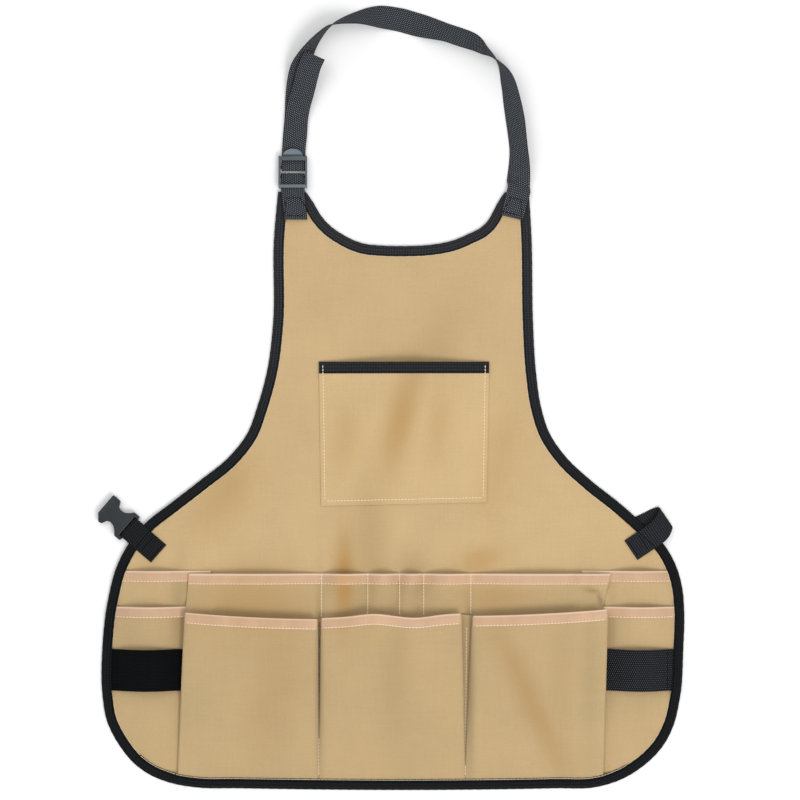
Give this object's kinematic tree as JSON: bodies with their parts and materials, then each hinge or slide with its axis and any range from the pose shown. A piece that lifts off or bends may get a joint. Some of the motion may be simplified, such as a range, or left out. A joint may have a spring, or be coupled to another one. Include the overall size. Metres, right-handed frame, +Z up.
{
  "type": "gardening apron",
  "caption": "Bib apron for garden work, lying flat, with a chest pocket, rows of tool pockets, side pockets, webbing tool loops, an adjustable neck strap and waist fastenings.",
  "frame": {"origin": "on the floor under the middle of the apron's bounding box", "axes": "+Y from the hem towards the neck strap, +Z up from the floor through the apron to its pocket side, +X towards the wearer's left side"},
  "size_m": [0.6263, 0.8387, 0.0292],
  "materials": {
    "canvas": "khaki cotton canvas, plain weave",
    "satin_tape": "tan tape with a soft sheen",
    "binding": "black ribbed binding tape",
    "webbing": "black woven webbing",
    "plastic": "black moulded plastic, satin"
  },
  "bodies": {
    "root": {"body_panel": "canvas", "neck_binding": "binding", "left_side_binding": "binding", "right_side_binding": "binding", "hem_binding": "binding", "chest_pocket": "canvas", "chest_pocket_binding": "binding", "upper_pocket_row": "canvas", "upper_row_tape": "satin_tape", "lower_pocket_row": "canvas", "lower_row_tape_left": "satin_tape", "lower_row_tape_middle": "satin_tape", "lower_row_tape_right": "satin_tape", "left_back_side_pocket": "canvas", "left_back_side_tape": "satin_tape", "left_front_side_pocket": "canvas", "left_front_side_tape": "satin_tape", "right_back_side_pocket": "canvas", "right_back_side_tape": "satin_tape", "right_front_side_pocket": "canvas", "right_front_side_tape": "satin_tape", "left_tool_loop": "webbing", "right_tool_loop": "webbing", "neck_strap": "webbing", "shoulder_tab": "webbing", "ladder_lock_buckle": "plastic", "waist_buckle": "plastic", "waist_tab": "webbing", "waist_loop": "webbing"}
  },
  "joints": []
}
